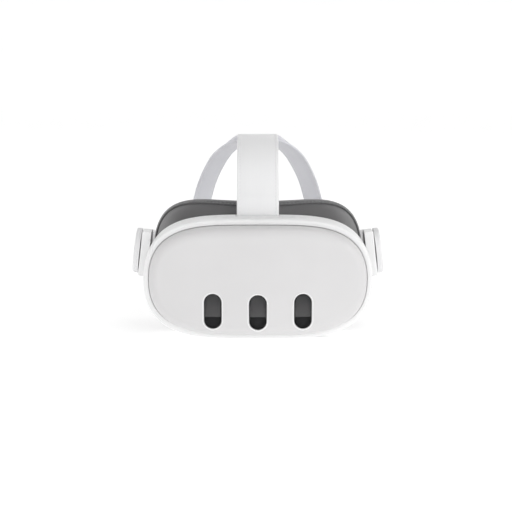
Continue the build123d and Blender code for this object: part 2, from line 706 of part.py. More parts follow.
# ---- Build ----
nodes["faceplate"] = make_faceplate()
nodes["window_left"] = make_window(WINDOW_PITCH)
nodes["window_center"] = make_window(0)
nodes["window_right"] = make_window(-WINDOW_PITCH)
nodes["chassis"] = make_chassis()
nodes["midframe"] = make_midframe()
nodes["chassis_screws"] = make_screws()
nodes["mainboard"] = make_mainboard()
nodes["heat_sink"] = make_heat_sink()
nodes["fan_housing"] = make_fan_housing()
nodes["fan_rotor"] = make_fan_rotor()
nodes["battery"] = make_battery()
nodes["camera_module_left"] = make_camera_module(WINDOW_PITCH)
nodes["camera_module_right"] = make_camera_module(-WINDOW_PITCH)
nodes["depth_sensor"] = make_depth_sensor()
for side_name, side_spot in SIDE_CAMERA_SPOTS.items():
    nodes["side_camera_" + side_name] = make_side_camera(side_spot)
rails = [rod_x(RAIL_R, -RAIL_HALF, RAIL_HALF, RAIL_Y, EYE_Z + rise * RAIL_RISE) for rise in (-1, 1)]
nodes["lens_rails"] = Compound(rails)
pair("lens_barrel", make_barrel())
pair("lens_glass", make_lens())
pair("display", make_display())
nodes["rack_left"] = make_rack_left()
nodes["rack_right"] = make_rack_right()
nodes["ipd_wheel"] = make_ipd_wheel()
nodes["wheel_axle"] = make_wheel_axle()
nodes["eye_panel"] = make_eye_panel()
nodes["proximity_sensor"] = make_proximity_sensor()
nodes["power_button"] = make_power_button()
nodes["volume_rocker"] = make_volume_rocker()
nodes["status_led"] = make_status_led()
nodes["usb_port"] = make_usb_port()
nodes["audio_jack"] = make_audio_jack()
nodes["charging_contacts"] = make_contacts()
pair("arm", make_arm())
pair("speaker", make_speaker())
pair("speaker_cover", make_speaker_cover())
pair("strap_hub", make_hub())
nodes["face_frame"] = make_face_frame()
nodes["face_skirt"] = make_face_skirt()
nodes["face_pad"] = make_face_pad()
pair("release_button", make_release_button())
nodes["strap_bar"] = make_strap_bar()
nodes["top_strap_loop"] = make_loop()
nodes["top_strap"] = make_top_strap()
pair("yoke", make_yoke())
pair("side_strap", make_side_strap())
nodes["rear_band"] = make_rear_band()
pair("slider", make_slider())

os.makedirs("parts", exist_ok=True)
for name, shape in nodes.items():
    export_step(shape, f"parts/{name}.step")
print(f"{len(nodes)} nodes written")
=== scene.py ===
import json
import math

import bmesh
import bpy
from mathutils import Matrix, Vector


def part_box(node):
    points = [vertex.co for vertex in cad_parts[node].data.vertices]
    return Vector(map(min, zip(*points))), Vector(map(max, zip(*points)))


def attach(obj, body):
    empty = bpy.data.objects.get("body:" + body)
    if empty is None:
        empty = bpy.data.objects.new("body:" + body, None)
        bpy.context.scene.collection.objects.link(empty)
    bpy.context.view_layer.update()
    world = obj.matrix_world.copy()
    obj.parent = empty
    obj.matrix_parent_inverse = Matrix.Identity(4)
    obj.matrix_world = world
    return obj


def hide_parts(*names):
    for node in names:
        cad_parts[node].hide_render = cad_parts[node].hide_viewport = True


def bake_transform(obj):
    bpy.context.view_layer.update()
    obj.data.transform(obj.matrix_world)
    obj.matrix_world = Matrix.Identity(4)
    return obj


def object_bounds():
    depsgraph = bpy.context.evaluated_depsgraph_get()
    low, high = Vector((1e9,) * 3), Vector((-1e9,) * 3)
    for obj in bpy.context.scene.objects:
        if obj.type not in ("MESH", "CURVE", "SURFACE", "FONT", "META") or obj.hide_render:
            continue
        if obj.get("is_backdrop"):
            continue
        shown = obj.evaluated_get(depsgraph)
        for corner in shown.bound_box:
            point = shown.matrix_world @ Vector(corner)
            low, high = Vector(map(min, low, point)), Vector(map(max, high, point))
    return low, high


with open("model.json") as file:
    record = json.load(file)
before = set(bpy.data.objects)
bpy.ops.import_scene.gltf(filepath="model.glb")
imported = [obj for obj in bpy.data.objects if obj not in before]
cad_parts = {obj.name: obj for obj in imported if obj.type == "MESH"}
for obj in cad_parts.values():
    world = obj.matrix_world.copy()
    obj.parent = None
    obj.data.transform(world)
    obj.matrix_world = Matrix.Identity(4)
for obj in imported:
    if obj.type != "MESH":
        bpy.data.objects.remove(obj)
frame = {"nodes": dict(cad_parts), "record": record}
nodes = frame["nodes"]
cad_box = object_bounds()
MM = 0.001

# ---------------------------------------------------------------- camera and light
VIEW_TILT = math.radians(8.5)          # the camera looks down on the visor by this much
CAMERA_DISTANCE = 1.40                  # metres
LENS_MM = 122.5
SENSOR_MM = 36
AIM_ACROSS, AIM_RISE = -1.5, 18.8       # the view's centre, in millimetres from the middle of the visor


def make_camera():
    low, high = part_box("chassis")
    up = Vector((0, math.sin(VIEW_TILT), math.cos(VIEW_TILT)))
    back = Vector((0, -math.cos(VIEW_TILT), math.sin(VIEW_TILT)))
    target = Vector((AIM_ACROSS * MM, low.y, (low.z + high.z) / 2)) + up * AIM_RISE * MM
    data = bpy.data.cameras.new("camera")
    data.lens = LENS_MM
    data.sensor_width = SENSOR_MM
    data.clip_end = 20
    camera = bpy.data.objects.new("camera", data)
    camera.location = target + back * CAMERA_DISTANCE
    camera.rotation_euler = (math.pi / 2 - VIEW_TILT, 0, 0)
    bpy.context.scene.collection.objects.link(camera)
    bpy.context.scene.camera = camera


def area_light(name, place, aim, size, power):
    data = bpy.data.lights.new(name, "AREA")
    data.shape = "RECTANGLE"
    data.size, data.size_y = size
    data.energy = power
    light = bpy.data.objects.new(name, data)
    light.location = place
    light.rotation_euler = (Vector(aim) - Vector(place)).to_track_quat("-Z", "Y").to_euler()
    bpy.context.scene.collection.objects.link(light)


def make_studio():
    middle = (0, 0.05, 0.06)
    area_light("key_right", (1.6, -1.0, 0.9), middle, (0.7, 0.7), 5)
    area_light("fill_left", (-0.9, -2.0, 0.35), middle, (1.4, 1.4), 3)
    area_light("top", (0.5, -0.5, 1.9), middle, (1.4, 1.4), 10.5)
    area_light("back", (0.2, 1.8, 0.8), (0, 0.1, 0.1), (1.6, 1.0), 2)
    world = bpy.data.worlds.new("studio")
    world.use_nodes = True
    sky = world.node_tree.nodes["Background"]
    sky.inputs["Color"].default_value = (1, 1, 1, 1)
    sky.inputs["Strength"].default_value = 0.1
    bpy.context.scene.world = world
    bpy.context.scene.view_settings.view_transform = "Standard"


def side_faces(rows, count, base=0, flip=False):
    """Quads between neighbouring rings of count points each; flip turns them to face the other way."""
    faces = []
    for row in range(rows - 1):
        for col in range(count):
            a, b = base + row * count + col, base + row * count + (col + 1) % count
            faces.append((a, b, b + count, a + count) if flip else (a, a + count, b + count, b))
    return faces


def tube_faces(rows, count, base=0, flip=False):
    """Side faces of a tube over a row of rings, and then its two ends."""
    first = range(base, base + count)
    last = range(base + (rows - 1) * count, base + rows * count)
    ends = [tuple(reversed(first)), tuple(last)] if flip else [tuple(first), tuple(reversed(last))]
    return side_faces(rows, count, base, flip) + ends


FLOOR_REACH, WALL_TOP = 4.5, 5.0        # metres
WALL_TURN = 1.2                         # radius with which the floor turns up
BACKDROP_SIDES, TURN_STEPS = 72, 12
BACKDROP_GLOW = 0.66


def make_backdrop():
    """Round pale floor that turns up into a wall on every side, with a glow of its own."""
    profile = [(0.02, 0.0), (1.5, 0.0), (FLOOR_REACH, 0.0)]
    for step in range(1, TURN_STEPS + 1):
        lift = math.pi / 2 * step / TURN_STEPS
        profile.append((FLOOR_REACH + WALL_TURN * math.sin(lift), WALL_TURN * (1 - math.cos(lift))))
    profile.append((FLOOR_REACH + WALL_TURN, WALL_TOP))
    turns = [2 * math.pi * side / BACKDROP_SIDES for side in range(BACKDROP_SIDES)]
    verts = [(out * math.cos(turn), out * math.sin(turn), z) for out, z in profile for turn in turns]
    faces = [tuple(range(BACKDROP_SIDES))] + side_faces(len(profile), BACKDROP_SIDES)
    backdrop = add_mesh("backdrop", verts, faces)
    paint = Paint("backdrop_paper", (0.5, 0.5, 0.5), 0.8)
    paint.vary_color(paint.noise(3, 2), (0.495, 0.495, 0.495), (0.505, 0.505, 0.505))
    paint.set("Emission Color", (1, 1, 1, 1))
    paint.set("Emission Strength", BACKDROP_GLOW)
    backdrop.data.materials.append(paint.material)
    backdrop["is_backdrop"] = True


def add_mesh(name, verts, faces, uvs=None):
    """Object from points and faces; uvs holds one (u, v) in metres for each point."""
    mesh = bpy.data.meshes.new(name)
    mesh.from_pydata([tuple(v) for v in verts], [], faces)
    mesh.validate()
    mesh.shade_smooth()
    if uvs:
        layer = mesh.uv_layers.new(name="UVMap")
        for loop in mesh.loops:
            layer.data[loop.index].uv = uvs[loop.vertex_index]
    made = bpy.data.objects.new(name, mesh)
    bpy.context.scene.collection.objects.link(made)
    return made


# ---------------------------------------------------------------- materials
MASK_LOW, MASK_DIVIDE, MASK_HIGH = 10.0, 20.6, 40.0    # heights (mm) on the masks behind the windows
MASK_BLUR = 0.01                        # half the soft step at the divide, as a share of the ramp


class Paint:
    """A procedural material, built up one feature at a time."""

    def __init__(self, name, color, roughness, metallic=0.0, coords="Object"):
        self.material = bpy.data.materials.new(name)
        self.material.use_nodes = True
        self.tree = self.material.node_tree
        self.shader = self.tree.nodes["Principled BSDF"]
        self.set("Base Color", (*color, 1))
        self.set("Roughness", roughness)
        self.set("Metallic", metallic)
        self.coords = self.tree.nodes.new("ShaderNodeTexCoord").outputs[coords]
        self.height = None

    def set(self, socket, value):
        self.shader.inputs[socket].default_value = value
        return self

    def link(self, start, end):
        self.tree.links.new(start, end)

    def node(self, kind, **settings):
        made = self.tree.nodes.new(kind)
        for name, value in settings.items():
            if name in made.inputs:
                made.inputs[name].default_value = value
            else:
                setattr(made, name, value)
        return made

    def noise(self, scale, detail=3.0, roughness=0.5):
        made = self.node("ShaderNodeTexNoise", Scale=scale, Detail=detail, Roughness=roughness)
        self.link(self.coords, made.inputs["Vector"])
        return made.outputs["Fac"]

    def cells(self, scale):
        made = self.node("ShaderNodeTexVoronoi", Scale=scale)
        self.link(self.coords, made.inputs["Vector"])
        return made.outputs["Distance"]

    def bands(self, pitch, axis):
        """Wave with one ridge every pitch metres along an axis of the coordinates."""
        made = self.node("ShaderNodeTexWave", Scale=math.pi / (10 * pitch), bands_direction=axis)
        self.link(self.coords, made.inputs["Vector"])
        return made.outputs["Fac"]

    def ramp(self, value, stops):
        made = self.node("ShaderNodeValToRGB")
        ramp = made.color_ramp
        while len(ramp.elements) < len(stops):
            ramp.elements.new(0.5)
        for element, (place, color) in zip(ramp.elements, stops):
            element.position = place
            element.color = (*color, 1)
        self.link(value, made.inputs["Fac"])
        return made.outputs["Color"]

    def combine(self, operation, first, second):
        made = self.node("ShaderNodeMath", operation=operation)
        for socket, value in zip(made.inputs, (first, second)):
            if isinstance(value, (int, float)):
                socket.default_value = value
            else:
                self.link(value, socket)
        return made.outputs["Value"]

    def span(self, value, low, high):
        """Maps 0 to 1 onto low to high."""
        made = self.node("ShaderNodeMapRange")
        made.inputs["To Min"].default_value = low
        made.inputs["To Max"].default_value = high
        self.link(value, made.inputs["Value"])
        return made.outputs["Result"]

    def vary_color(self, value, low, high, start=0.3, end=0.7):
        self.link(self.ramp(value, [(start, low), (end, high)]), self.shader.inputs["Base Color"])
        return self

    def vary_roughness(self, value, low, high):
        self.link(self.span(value, low, high), self.shader.inputs["Roughness"])
        return self

    def bump(self, value, strength, depth_mm):
        made = self.node("ShaderNodeBump", Strength=strength, Distance=depth_mm * MM)
        self.link(value, made.inputs["Height"])
        if self.height is not None:
            self.link(self.height, made.inputs["Normal"])
        self.height = made.outputs["Normal"]
        self.link(self.height, self.shader.inputs["Normal"])
        return self


def moulded(name, color, roughness, spread=0.02, grain=1500, depth=0.015):
    """Injection-moulded plastic: a very fine spark texture and slightly uneven gloss."""
    paint = Paint(name, color, roughness)
    low = tuple(max(0.0, c - spread) for c in color)
    high = tuple(min(1.0, c + spread) for c in color)
    paint.vary_color(paint.noise(18, 3), low, high)
    paint.vary_roughness(paint.noise(60, 4), roughness - 0.05, roughness + 0.06)
    paint.bump(paint.noise(grain, 2), 0.35, depth)
    return paint


def metal(name, color, roughness):
    paint = Paint(name, color, roughness, metallic=1.0)
    paint.vary_color(paint.noise(240, 4), tuple(0.9 * c for c in color), color)
    paint.vary_roughness(paint.noise(90, 5), roughness - 0.06, roughness + 0.1)
    paint.bump(paint.noise(900, 2, 0.6), 0.3, 0.02)
    return paint


RIB_PITCH, PICK_PITCH = 1.1 * MM, 0.8 * MM


def woven(name, color, shade):
    """Narrow woven elastic: ribs along the strap, picks across it. UV is in metres."""
    paint = Paint(name, color, 0.82, coords="UV")
    weave = paint.combine("MULTIPLY", paint.bands(RIB_PITCH, "X"), paint.bands(PICK_PITCH, "Y"))
    fuzz = paint.noise(2600, 3)
    # colour: darker in the weave's hollows as painted shade, and unevenly toned by the fuzz
    hollow_shade_and_tone = paint.combine("ADD", paint.combine("MULTIPLY", weave, 0.6),
                           paint.combine("MULTIPLY", fuzz, 0.4))
    paint.vary_color(hollow_shade_and_tone, shade, color, 0.15, 0.75)
    paint.bump(weave, 0.45, 0.12).bump(fuzz, 0.25, 0.05)
    paint.set("Sheen Weight", 0.25)
    paint.set("Sheen Roughness", 0.5)
    return paint


def knitted(name, color, shade):
    """Soft brushed knit over foam."""
    paint = Paint(name, color, 0.92)
    loops = paint.cells(1150)
    fuzz = paint.noise(1800, 4)
    # colour: darker in the knit's dimples as painted shade, and unevenly toned by the fuzz
    hollow_shade_and_tone = paint.combine("ADD", paint.combine("MULTIPLY", loops, 0.8),
                           paint.combine("MULTIPLY", fuzz, 0.4))
    paint.vary_color(hollow_shade_and_tone, shade, color, 0.2, 0.75)
    paint.bump(loops, 0.5, 0.25).bump(fuzz, 0.3, 0.08)
    paint.set("Sheen Weight", 0.55)
    paint.set("Sheen Roughness", 0.45)
    return paint


def smoked_glass(name):
    paint = Paint(name, (0.012, 0.012, 0.013), 0.06)
    paint.vary_roughness(paint.noise(120, 3), 0.03, 0.08)
    paint.set("Specular IOR Level", 0.2)
    paint.set("Alpha", 0.4)
    return paint


def clear_glass(name, tint):
    paint = Paint(name, tint, 0.03)
    paint.vary_roughness(paint.noise(150, 2), 0.015, 0.04)
    paint.set("Transmission Weight", 1.0)
    paint.set("IOR", 1.49)
    return paint


def circuit_board():
    paint = Paint("solder_mask", (0.02, 0.12, 0.07), 0.35)
    tracks = paint.node("ShaderNodeTexBrick", Scale=260.0)
    tracks.inputs["Color1"].default_value = (0.012, 0.09, 0.05, 1)
    tracks.inputs["Color2"].default_value = (0.02, 0.13, 0.075, 1)
    tracks.inputs["Mortar"].default_value = (0.05, 0.2, 0.11, 1)
    paint.link(paint.coords, tracks.inputs["Vector"])
    paint.link(tracks.outputs["Color"], paint.shader.inputs["Base Color"])
    paint.bump(tracks.outputs["Fac"], 0.3, 0.05)
    return paint


def display_panel():
    paint = Paint("display_panel", (0.012, 0.012, 0.018), 0.12)
    paint.vary_color(paint.noise(40, 3), (0.008, 0.008, 0.012), (0.016, 0.017, 0.026))
    paint.vary_roughness(paint.noise(200, 2), 0.08, 0.16)
    paint.set("Coat Weight", 0.8)
    return paint


def window_mask():
    """Mask behind a window: pale just above the divide, darker towards the top, and black below it."""
    paint = Paint("window_mask", (0.3, 0.3, 0.3), 0.6)
    split = paint.node("ShaderNodeSeparateXYZ")
    paint.link(paint.coords, split.inputs["Vector"])
    height = paint.node("ShaderNodeMapRange")
    height.inputs["From Min"].default_value = MASK_LOW * MM
    height.inputs["From Max"].default_value = MASK_HIGH * MM
    paint.link(split.outputs["Z"], height.inputs["Value"])
    divide = (MASK_DIVIDE - MASK_LOW) / (MASK_HIGH - MASK_LOW)
    grain = paint.combine("MULTIPLY", paint.noise(900, 2), 0.02)
    place = paint.combine("ADD", height.outputs["Result"], grain)
    black, pale, grey = (0.006, 0.006, 0.006), (0.62, 0.61, 0.62), (0.25, 0.25, 0.25)
    stops = [(divide - MASK_BLUR, black), (divide + MASK_BLUR, pale), (1.0, grey)]
    paint.link(paint.ramp(place, stops), paint.shader.inputs["Base Color"])
    paint.vary_roughness(paint.noise(300, 2), 0.5, 0.7)
    return paint


PAINTS = {
    "shell": moulded("shell_white", (0.87, 0.87, 0.87), 0.42),
    "face": moulded("faceplate_white", (0.685, 0.678, 0.681), 0.4, 0.012),
    "strap_plastic": moulded("strap_plastic", (0.83, 0.83, 0.835), 0.48),
    "dark": moulded("dark_plastic", (0.045, 0.045, 0.048), 0.55, 0.012),
    "black": moulded("black_plastic", (0.012, 0.012, 0.013), 0.5, 0.004),
    "grey": moulded("grey_plastic", (0.32, 0.32, 0.33), 0.5),
    "cell": moulded("cell_wrap", (0.12, 0.13, 0.16), 0.35, 0.02),
    "led": moulded("led_lens", (0.75, 0.82, 0.8), 0.3),
    "rubber": moulded("skirt_rubber", (0.135, 0.133, 0.135), 0.42, 0.015, 900, 0.03),
    "aluminium": metal("aluminium", (0.72, 0.73, 0.75), 0.35),
    "steel": metal("polished_steel", (0.62, 0.62, 0.64), 0.22),
    "gold": metal("gold_plate", (0.86, 0.66, 0.31), 0.22),
    "weave": woven("strap_weave", (0.885, 0.885, 0.888), (0.83, 0.83, 0.836)),
    # darker, bluer copy of the strap weave: painted shade, used on the yokes and the crown patch
    "weave_shaded": woven("yoke_weave_shaded", (0.75, 0.75, 0.785), (0.68, 0.68, 0.715)),
    "knit": knitted("pad_knit", (0.12, 0.12, 0.123), (0.05, 0.05, 0.052)),
    "thread": moulded("thread", (0.78, 0.78, 0.79), 0.7, 0.03),
    "mask": window_mask(),
    # almost white, far paler than the faceplate: a painted highlight on the window bevels
    "bevel": moulded("window_bevel_highlight", (0.93, 0.93, 0.93), 0.3, 0.01),
    "eye": moulded("camera_eye", (0.03, 0.03, 0.034), 0.15, 0.006),
    "smoked": smoked_glass("smoked_glass"),
    "lens": clear_glass("lens_glass", (0.9, 0.93, 0.95)),
    "board": circuit_board(),
    "panel": display_panel(),
}

SLOT_PAINTS = {
    "white_shell": "shell", "window_glass": "smoked", "dark_plastic": "dark", "grey_plastic": "grey",
    "board": "board", "aluminium": "aluminium", "steel": "steel", "gold": "gold", "cell_wrap": "cell",
    "clear_lens": "lens", "panel_glass": "panel", "pad_fabric": "knit", "skirt_rubber": "rubber",
    "strap_fabric": "weave", "strap_plastic": "strap_plastic", "led_lens": "led",
}


def paint_nodes():
    for part in frame["record"]["subparts"]:
        data = nodes[part["node"]].data
        name = "face" if part["node"] == "faceplate" else SLOT_PAINTS[part["material_slot"]]
        data.materials.clear()
        data.materials.append(PAINTS[name].material)


# ---------------------------------------------------------------- routes and sections
HEAD = Vector((0, 96, 75)) * MM        # middle of the head that the straps lie on
HEAD_SIZE = Vector((82, 105, 80)) * MM
STEP = 2.5 * MM
EDGE_X = Vector((-1, 0, 0))
BAND_UP = Vector((0, -0.08, 1))
HUB_LEAN = 0.114                        # the hubs lean in at the top by this slope


def outward(point):
    """Direction away from the head at a point on its surface."""
    return Vector([(at - mid) / size ** 2 for at, mid, size in zip(point, HEAD, HEAD_SIZE)]).normalized()


def smooth_route(points_mm):
    """Points along a Catmull-Rom curve through the route, about STEP apart."""
    points = [Vector(p) * MM for p in points_mm]
    points = [2 * points[0] - points[1]] + points + [2 * points[-1] - points[-2]]
    line = []
    for before, start, end, after in zip(points, points[1:], points[2:], points[3:]):
        count = max(2, round((end - start).length / STEP))
        for part in range(count):
            t = part / count
            line.append(0.5 * (2 * start + (end - before) * t
                               + (2 * before - 5 * start + 4 * end - after) * t ** 2
                               + (3 * start - before - 3 * end + after) * t ** 3))
    return line + [points[-2]]


def hermite(start, end, way_out, way_in):
    """Curve between two points in millimetres with given directions, without its last point."""
    start, end = Vector(start) * MM, Vector(end) * MM
    span = (end - start).length
    first, last = Vector(way_out).normalized() * span, Vector(way_in).normalized() * span
    line = []
    count = round(span / STEP)
    for part in range(count):
        t = part / count
        line.append((2 * t ** 3 - 3 * t ** 2 + 1) * start + (t ** 3 - 2 * t ** 2 + t) * first
                    + (3 * t ** 2 - 2 * t ** 3) * end + (t ** 3 - t ** 2) * last)
    return line


def frames_along(line, across_at):
    """(point, across, normal, distance) at each point of a line."""
    frames, distance = [], 0.0
    for index, point in enumerate(line):
        along = (line[min(index + 1, len(line) - 1)] - line[max(index - 1, 0)]).normalized()
        across = across_at(point, along)
        across = (across - along * across.dot(along)).normalized()
        if index:
            distance += (point - line[index - 1]).length
        frames.append((point, across, along.cross(across).normalized(), distance))
    return frames


HEM = 2.6 * MM                          # distance of a strap's seam from its edge
SEAM_DIP = 0.2 * MM
STITCH_PITCH = 3.2 * MM
STITCH_LENGTH = 2.3 * MM
STITCH_R = 0.24 * MM
STITCH_SIDES = 6
STITCH_DIP = 0.9                        # its ends go down into the cloth by this share of its radius
# places along a stitch as shares of its length, and its radius there as a share of STITCH_R
STITCH_RINGS = [(-0.5, 0.25), (-0.42, 0.8), (-0.2, 1.0), (0.2, 1.0), (0.42, 0.8), (0.5, 0.25)]


def strap_section(width, thick):
    """Closed outline (across, lift) of a woven strap with a rounded edge and a sunk seam near it."""
    half, rise = width / 2, thick / 2
    side = [(0.0, 0.0), (0.1 * MM, 0.45), (0.4 * MM, 0.8), (0.9 * MM, 1.0), (HEM - 0.55 * MM, 1.0),
            (HEM, 1.0 - SEAM_DIP / rise), (HEM + 0.55 * MM, 1.0)]
    top = [(half - inset, rise * lift) for inset, lift in side]
    top += [(0.3 * half, rise), (-0.3 * half, rise)]
    top += [(inset - half, rise * lift) for inset, lift in reversed(side)]
    under = [(across, -lift) for across, lift in reversed(top[1:-1])]
    return top + under


def add_stitch(verts, faces, middle, along, out):
    """Adds one thread stitch: a short round-ended bar lying on the cloth."""
    across = along.cross(out).normalized()
    base = len(verts)
    for place, size in STITCH_RINGS:
        radius = size * STITCH_R
        dip = -STITCH_DIP * STITCH_R * abs(2 * place) ** 3
        for side in range(STITCH_SIDES):
            turn = 2 * math.pi * side / STITCH_SIDES
            verts.append(middle + along * place * STITCH_LENGTH + out * (dip + radius * math.sin(turn))
                         + across * radius * math.cos(turn))
    faces.extend(tube_faces(len(STITCH_RINGS), STITCH_SIDES, base, flip=True))


class Cloth:
    """Mesh of one sewn piece: its cloth, and then its stitches in a second material."""

    def __init__(self):
        self.verts, self.faces, self.uvs = [], [], []
        self.threads, self.thread_faces = [], []

    def ribbon(self, frames, width, thick):
        """Sweeps a strap along the frames."""
        base = len(self.verts)
        section = strap_section(width, thick)
        for point, across, normal, distance in frames:
            for side, lift in section:
                self.verts.append(point + across * side + normal * lift)
                self.uvs.append((side, distance))
        self.faces += tube_faces(len(frames), len(section), base)

    def seam(self, frames, offset, lift, start=0.0, end=None):
        """Row of stitches at an offset across the strap, on the side that lift points to."""
        end = frames[-1][3] if end is None else end
        for index in range(int((end - start) / STITCH_PITCH)):
            self.stitch(frames, start + (index + 0.5) * STITCH_PITCH, offset, lift)

    def stitch(self, frames, distance, offset, lift):
        for before, after in zip(frames, frames[1:]):
            if before[3] <= distance <= after[3]:
                part = (distance - before[3]) / (after[3] - before[3])
                point, across, normal = [before[i].lerp(after[i], part) for i in range(3)]
                along = (after[0] - before[0]).normalized()
                middle = point + across * offset + normal * lift
                out = normal if lift > 0 else -normal
                add_stitch(self.threads, self.thread_faces, middle, along, out)
                return

    def edge_seams(self, frames, width, thick, start=0.0, end=None):
        lift = thick / 2 - SEAM_DIP
        for side in (-1, 1):
            for face in (-1, 1):
                self.seam(frames, side * (width / 2 - HEM), face * lift, start, end)

    def line_of_stitches(self, points, outs):
        """Stitches along any line on the cloth's surface."""
        left = STITCH_PITCH / 2
        for start, end, out in zip(points, points[1:], outs):
            span = (end - start).length
            if span == 0:
                continue
            along = (end - start) / span
            while left <= span:
                middle = start + along * left
                add_stitch(self.threads, self.thread_faces, middle, along, out)
                left += STITCH_PITCH
            left -= span

    def build(self, name, cloth_paint, thread_paint="thread"):
        base = len(self.verts)
        verts = self.verts + self.threads
        faces = self.faces + [tuple(base + i for i in face) for face in self.thread_faces]
        uvs = self.uvs + [(v.x, v.y) for v in self.threads]
        made = add_mesh(name, verts, faces, uvs)
        made.data.materials.append(PAINTS[cloth_paint].material)
        made.data.materials.append(PAINTS[thread_paint].material)
        first_thread = len(self.faces)
        for polygon in made.data.polygons:
            polygon.material_index = 0 if polygon.index < first_thread else 1
        return made


def placed(piece, body, slot, *stands_for):
    """Rides the piece on its body and hides the parts that it stands for."""
    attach(piece, body)
    if stands_for:
        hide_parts(*stands_for)


# ---------------------------------------------------------------- headstrap
CLOTH_T = 2.2 * MM
TOP_W = 34.4 * MM
YOKE_W = 23 * MM
BAND_W = 22 * MM
BAND_T = 2.4 * MM
TOP_ROUTE = [(0, 10.8, 90), (0, 10.8, 98.5), (0, 11.9, 103.5), (0, 13.6, 107.5), (0, 15.9, 112.4),
             (0, 32, 135.2), (0, 52, 149.3), (0, 76, 155.0), (0, 98, 155.2), (0, 112, 154.0),
             (0, 125, 151.6)]
YOKE_ROUTE = [(8.2, 125.5, 149.0), (14.9, 131, 146.8), (22.3, 138.2, 143.0), (32, 151.5, 133.8),
              (40.3, 163, 119.6), (46, 169.5, 106), (50, 173, 92), (54.6, 174, 75), (57.6, 174.8, 63),
              (59.9, 176.2, 50), (60.1, 176.4, 43)]
BAND_START, BAND_BEND = (99.0, 67, 63.2), (94.2, 98, 59.2)
BAND_STRAIGHT, BAND_END, BAND_BACK = (88.8, 137, 55.0), (66, 174, 46.6), (0, 198.5, 39.4)
BAND_OUT = Vector((0.68, 0.73, 0.06))   # away from the head where a yoke is sewn to the band
BAND_WAY = Vector(BAND_STRAIGHT) - Vector(BAND_BEND)
TURN_WAY = (-1, 0.95, -0.28)
TOP_SEAM_START = 8 * MM                 # the top strap's stitches start this far from its front end
BAND_SEAM_START = 12 * MM               # and the band's this far from each of its ends
YOKE_JOIN = (61.6, 178, 45.5)           # where the left yoke is sewn to the band
TURN_HIGH, TURN_OVER = 80, 26           # a yoke turns to the band from this height, over this drop
UPRIGHT_FROM, UPRIGHT_OVER = 72, 24     # the band comes upright from this depth, over this length


def make_top_strap():
    line = smooth_route(TOP_ROUTE)
    frames = frames_along(line, lambda point, along: EDGE_X)
    cloth = Cloth()
    cloth.ribbon(frames, TOP_W, CLOTH_T)
    cloth.edge_seams(frames, TOP_W, CLOTH_T, start=TOP_SEAM_START)
    strap = cloth.build("top_strap_fabric", "weave")
    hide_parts("top_strap", "top_strap_loop")
    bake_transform(strap)


def mirrored(points):
    return [(-x, y, z) for x, y, z in points]


def yoke_across(point, along):
    """Lies on the head above, and turns flat to the band near its lower end."""
    side = 1 if point.x > 0 else -1
    down = min(1.0, max(0.0, (TURN_HIGH * MM - point.z) / (TURN_OVER * MM)))
    band_out = Vector((side * BAND_OUT.x, BAND_OUT.y, BAND_OUT.z))
    return outward(point).lerp(band_out, down).cross(along)


def make_yoke(side, route):
    frames = frames_along(smooth_route(route), yoke_across)
    cloth = Cloth()
    cloth.ribbon(frames, YOKE_W, CLOTH_T)
    cloth.edge_seams(frames, YOKE_W, CLOTH_T)
    # the yoke takes the copy of the weave that carries painted shade
    placed(cloth.build("yoke_fabric_" + side, "weave_shaded"), "headstrap", "strap_fabric", "yoke_" + side)


def band_up(point, along):
    """Upright all the way round, but leaning in with the hub at each end."""
    straight = min(1.0, max(0.0, (point.y - UPRIGHT_FROM * MM) / (UPRIGHT_OVER * MM)))
    lean = Vector((-HUB_LEAN if point.x > 0 else HUB_LEAN, 0, 1))
    return lean.lerp(BAND_UP, straight)


def band_line():
    """Line from the left hub round the back to the right hub."""
    left = hermite(BAND_START, BAND_BEND, (0, 1, -0.06), BAND_WAY)
    left += hermite(BAND_BEND, BAND_STRAIGHT, BAND_WAY, BAND_WAY)
    left += hermite(BAND_STRAIGHT, BAND_END, BAND_WAY, TURN_WAY)
    left += hermite(BAND_END, BAND_BACK, TURN_WAY, (-1, 0, 0))
    right = [Vector((-p.x, p.y, p.z)) for p in reversed(left)]
    return left + [Vector(BAND_BACK) * MM] + right


BOX_STEPS = 6                           # points along each side of a box stitch
JOIN_BOX, END_BOX = (8 * MM, 6.6 * MM), (3.5 * MM, 7.5 * MM)    # half length and half width
END_BOX_AT = 16 * MM                    # distance of the end boxes from the band's ends


def box_stitch(cloth, frames, middle, half_long, half_wide, lift):
    """Square of stitches with a cross in it, centred at a distance along the strap."""
    def at(distance, offset):
        nearest = min(frames, key=lambda frame: abs(frame[3] - distance))
        return nearest[0] + nearest[1] * offset + nearest[2] * lift, nearest[2]

    corners = [(-1, -1), (1, -1), (1, 1), (-1, 1), (-1, -1), (1, 1), (1, -1), (-1, 1)]
    points, outs = [], []
    for start, end in zip(corners, corners[1:]):
        for step in range(BOX_STEPS):
            along = start[0] + (end[0] - start[0]) * step / BOX_STEPS
            across = start[1] + (end[1] - start[1]) * step / BOX_STEPS
            point, out = at(middle + along * half_long, across * half_wide)
            points.append(point)
            outs.append(out)
    cloth.line_of_stitches(points, outs)


def make_band():
    frames = frames_along(band_line(), band_up)
    cloth = Cloth()
    cloth.ribbon(frames, BAND_W, BAND_T)
    total = frames[-1][3]
    cloth.edge_seams(frames, BAND_W, BAND_T, BAND_SEAM_START, total - BAND_SEAM_START)
    left_join = Vector(YOKE_JOIN) * MM
    right_join = Vector((-left_join.x, left_join.y, left_join.z))
    for join, end in ((right_join, total - END_BOX_AT), (left_join, END_BOX_AT)):
        joined = min(frames, key=lambda frame: (frame[0] - join).length)
        box_stitch(cloth, frames, joined[3], *JOIN_BOX, BAND_T / 2)
        box_stitch(cloth, frames, end, *END_BOX, BAND_T / 2)
    placed(cloth.build("band_fabric", "weave"), "headstrap", "strap_fabric",
           "side_strap_left", "side_strap_right", "rear_band")


